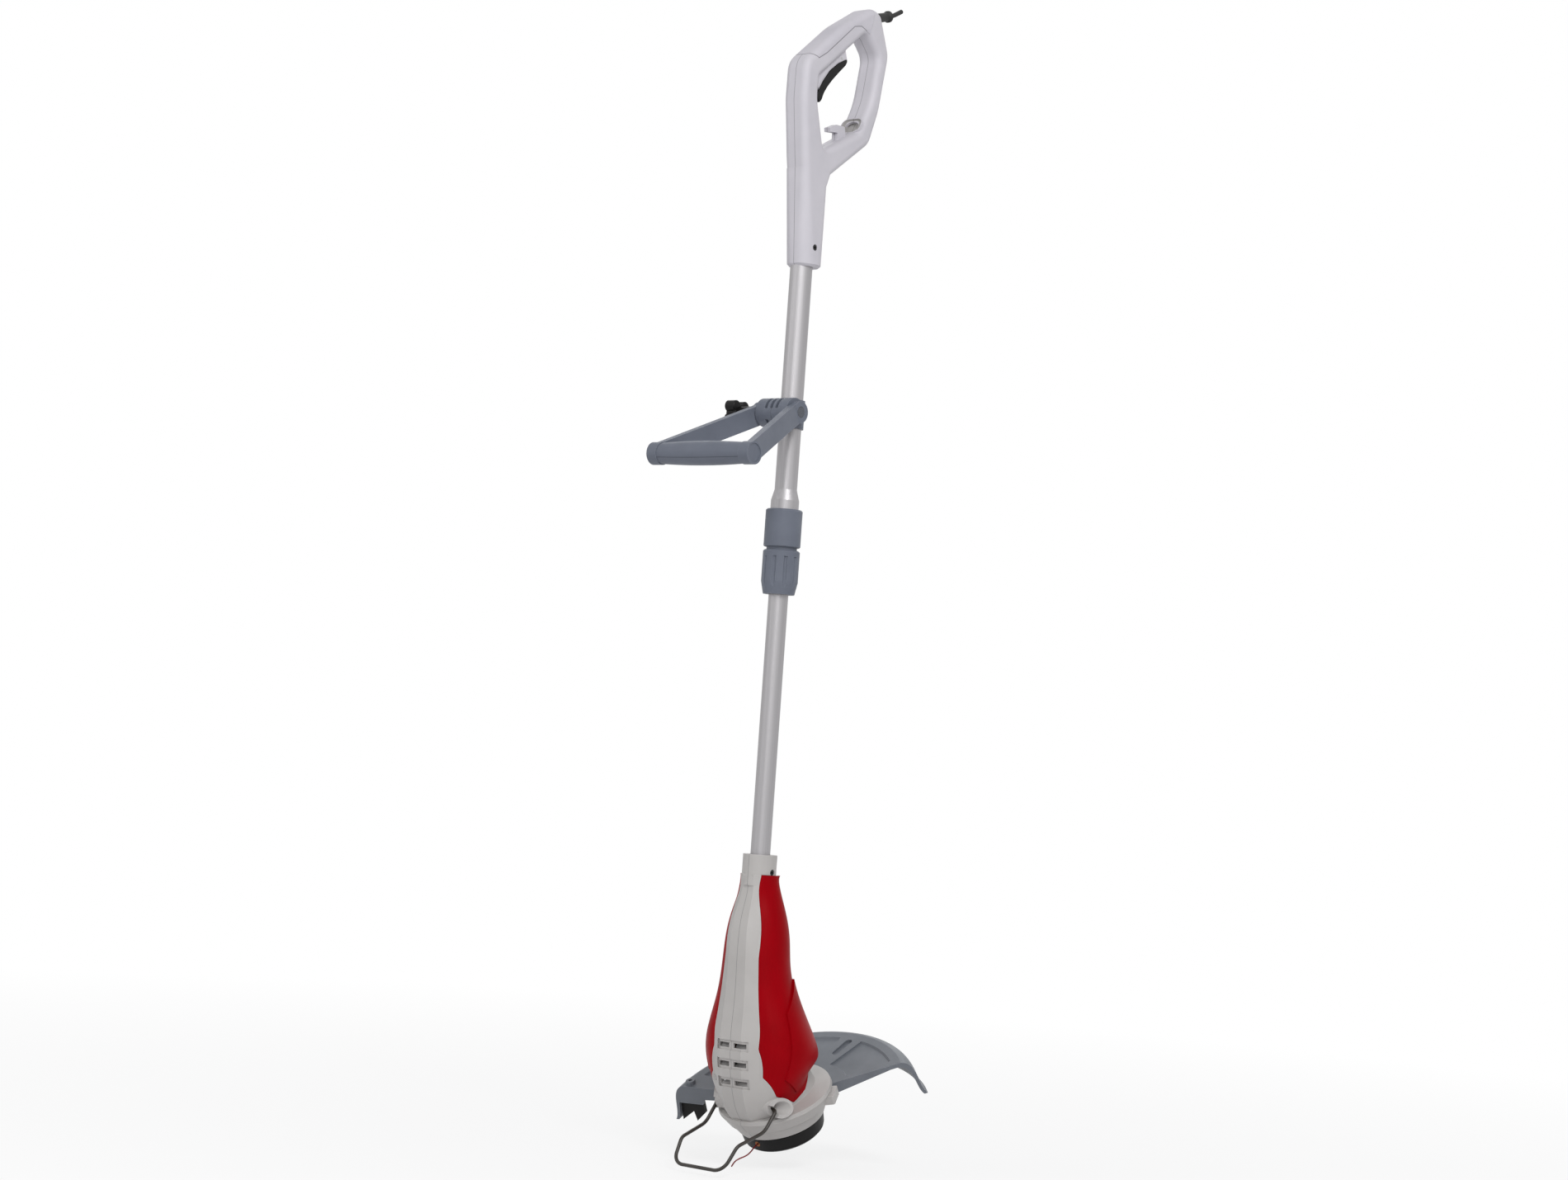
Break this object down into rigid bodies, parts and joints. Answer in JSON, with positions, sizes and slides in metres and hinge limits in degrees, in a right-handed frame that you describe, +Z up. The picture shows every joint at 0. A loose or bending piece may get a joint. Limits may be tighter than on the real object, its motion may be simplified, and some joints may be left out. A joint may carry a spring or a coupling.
{
  "type": "string trimmer",
  "caption": "Corded electric string trimmer with a telescopic tube, D-shaped rear handle, pivoting assist handle, tilted motor head, debris guard and flip-down wire plant guard.",
  "frame": {"origin": "middle of the tap button's flat under-face, where the cutting head touches the ground", "axes": "+Z up the straight tube towards the rear handle, -Y the front (plant guard side), +X to the right of someone facing the front"},
  "size_m": [0.2727, 0.3784, 1.3235],
  "materials": {
    "pale_plastic": "fine moulded grain",
    "inlay_plastic": "soft-touch grip panel",
    "red_plastic": "moulded red, satin",
    "grey_plastic": "slate grey, fine grain",
    "black_plastic": "black moulded",
    "black_rubber": "matt",
    "tube_aluminium": "drawn, satin anodised",
    "bright_steel": "zinc plated or ground",
    "black_wire": "black coated wire",
    "lamination_steel": "stacked laminations",
    "copper": "enamelled copper",
    "eyelet_brass": "pressed",
    "carbon": "pressed carbon",
    "red_line": "drawn nylon"
  },
  "bodies": {
    "upper_unit": {"handle_left_shell": "pale_plastic", "handle_right_shell": "pale_plastic", "grip_inlay": "inlay_plastic", "handle_screws": "bright_steel", "socket_bolt": "bright_steel", "switch_block": "black_plastic", "trigger_pin": "bright_steel", "strain_relief": "black_rubber", "supply_cord": "black_rubber", "upper_tube": "tube_aluminium", "clamp_sleeve": "grey_plastic", "collet": "black_plastic", "handle_lead": "black_rubber", "assist_clamp_left": "grey_plastic", "assist_clamp_right": "grey_plastic", "assist_bolt": "bright_steel", "trigger_spring": "bright_steel"},
    "trigger": {"trigger": "black_plastic"},
    "assist_handle": {"assist_arm_left": "grey_plastic", "assist_arm_right": "grey_plastic", "assist_grip": "grey_plastic"},
    "wing_knob": {"wing_knob": "black_plastic"},
    "clamp_nut": {"clamp_nut": "grey_plastic"},
    "guide_bush": {"guide_bush": "black_plastic"},
    "lower_unit": {"lower_tube": "tube_aluminium", "motor_lead": "black_rubber", "motor_housing_left": "pale_plastic", "motor_housing_right": "pale_plastic", "side_cover_left": "red_plastic", "side_cover_right": "red_plastic", "housing_screws": "bright_steel", "collar_bolt": "bright_steel", "head_skirt": "pale_plastic", "stator": "lamination_steel", "field_coils": "copper", "carbon_brushes": "carbon", "brush_holders": "black_plastic", "lower_bearing": "bright_steel", "upper_bearing": "bright_steel", "debris_guard": "grey_plastic", "guard_screws": "bright_steel", "cutter_holder": "black_plastic", "cutter_blade": "bright_steel", "cutter_screw": "bright_steel"},
    "plant_guard": {"plant_guard": "black_wire"},
    "spool_head": {"motor_shaft": "bright_steel", "armature": "lamination_steel", "commutator": "copper", "cooling_fan": "black_plastic", "spool_carrier": "black_plastic", "line_eyelet": "eyelet_brass", "spool_cap": "black_plastic", "tap_spring": "bright_steel", "trimming_line": "red_line"},
    "tap_button": {"tap_button": "black_plastic", "line_spool": "black_plastic", "wound_line": "red_line"}
  },
  "joints": [
    {"name": "trigger_press", "type": "hinge", "parent": "upper_unit", "child": "trigger", "pos_m": [0, -0.04643, 1.20874], "axis": [-1, 0, 0], "range_deg": [0, 6], "stiffness_Nm_per_rad": 2, "springref_deg": -5.73, "deforming": ["trigger_spring"]},
    {"name": "assist_tilt", "type": "hinge", "parent": "upper_unit", "child": "assist_handle", "pos_m": [0, -0.1, 0.8005], "axis": [1, 0, 0], "range_deg": [-60, 40]},
    {"name": "knob_turn", "type": "hinge", "parent": "upper_unit", "child": "wing_knob", "pos_m": [0, -0.1, 0.8005], "axis": [1, 0, 0], "range_deg": [0, 180]},
    {"name": "nut_turn", "type": "hinge", "parent": "upper_unit", "child": "clamp_nut", "pos_m": [0, -0.08, 0.6245], "axis": [0, 0, 1], "range_deg": [0, 90]},
    {"name": "telescope", "type": "slide", "parent": "upper_unit", "child": "guide_bush", "axis": [0, 0, 1], "range_m": [0, 0.24], "deforming": ["handle_lead"]},
    {"name": "head_turn", "type": "hinge", "parent": "guide_bush", "child": "lower_unit", "pos_m": [0, -0.08, 0.5], "axis": [0, 0, 1], "range_deg": [0, 180]},
    {"name": "plant_guard_flip", "type": "hinge", "parent": "lower_unit", "child": "plant_guard", "pos_m": [0, -0.073, 0.036], "axis": [-1, 0, 0], "range_deg": [0, 60]},
    {"name": "head_spin", "type": "hinge", "parent": "lower_unit", "child": "spool_head", "pos_m": [0, 0, 0], "axis": [0, -0.4695, 0.8829], "continuous": true},
    {"name": "tap_press", "type": "slide", "parent": "spool_head", "child": "tap_button", "axis": [0, -0.4695, 0.8829], "range_m": [0, 0.004], "stiffness_N_per_m": 2500, "springref_m": -0.004, "deforming": ["tap_spring"]}
  ]
}
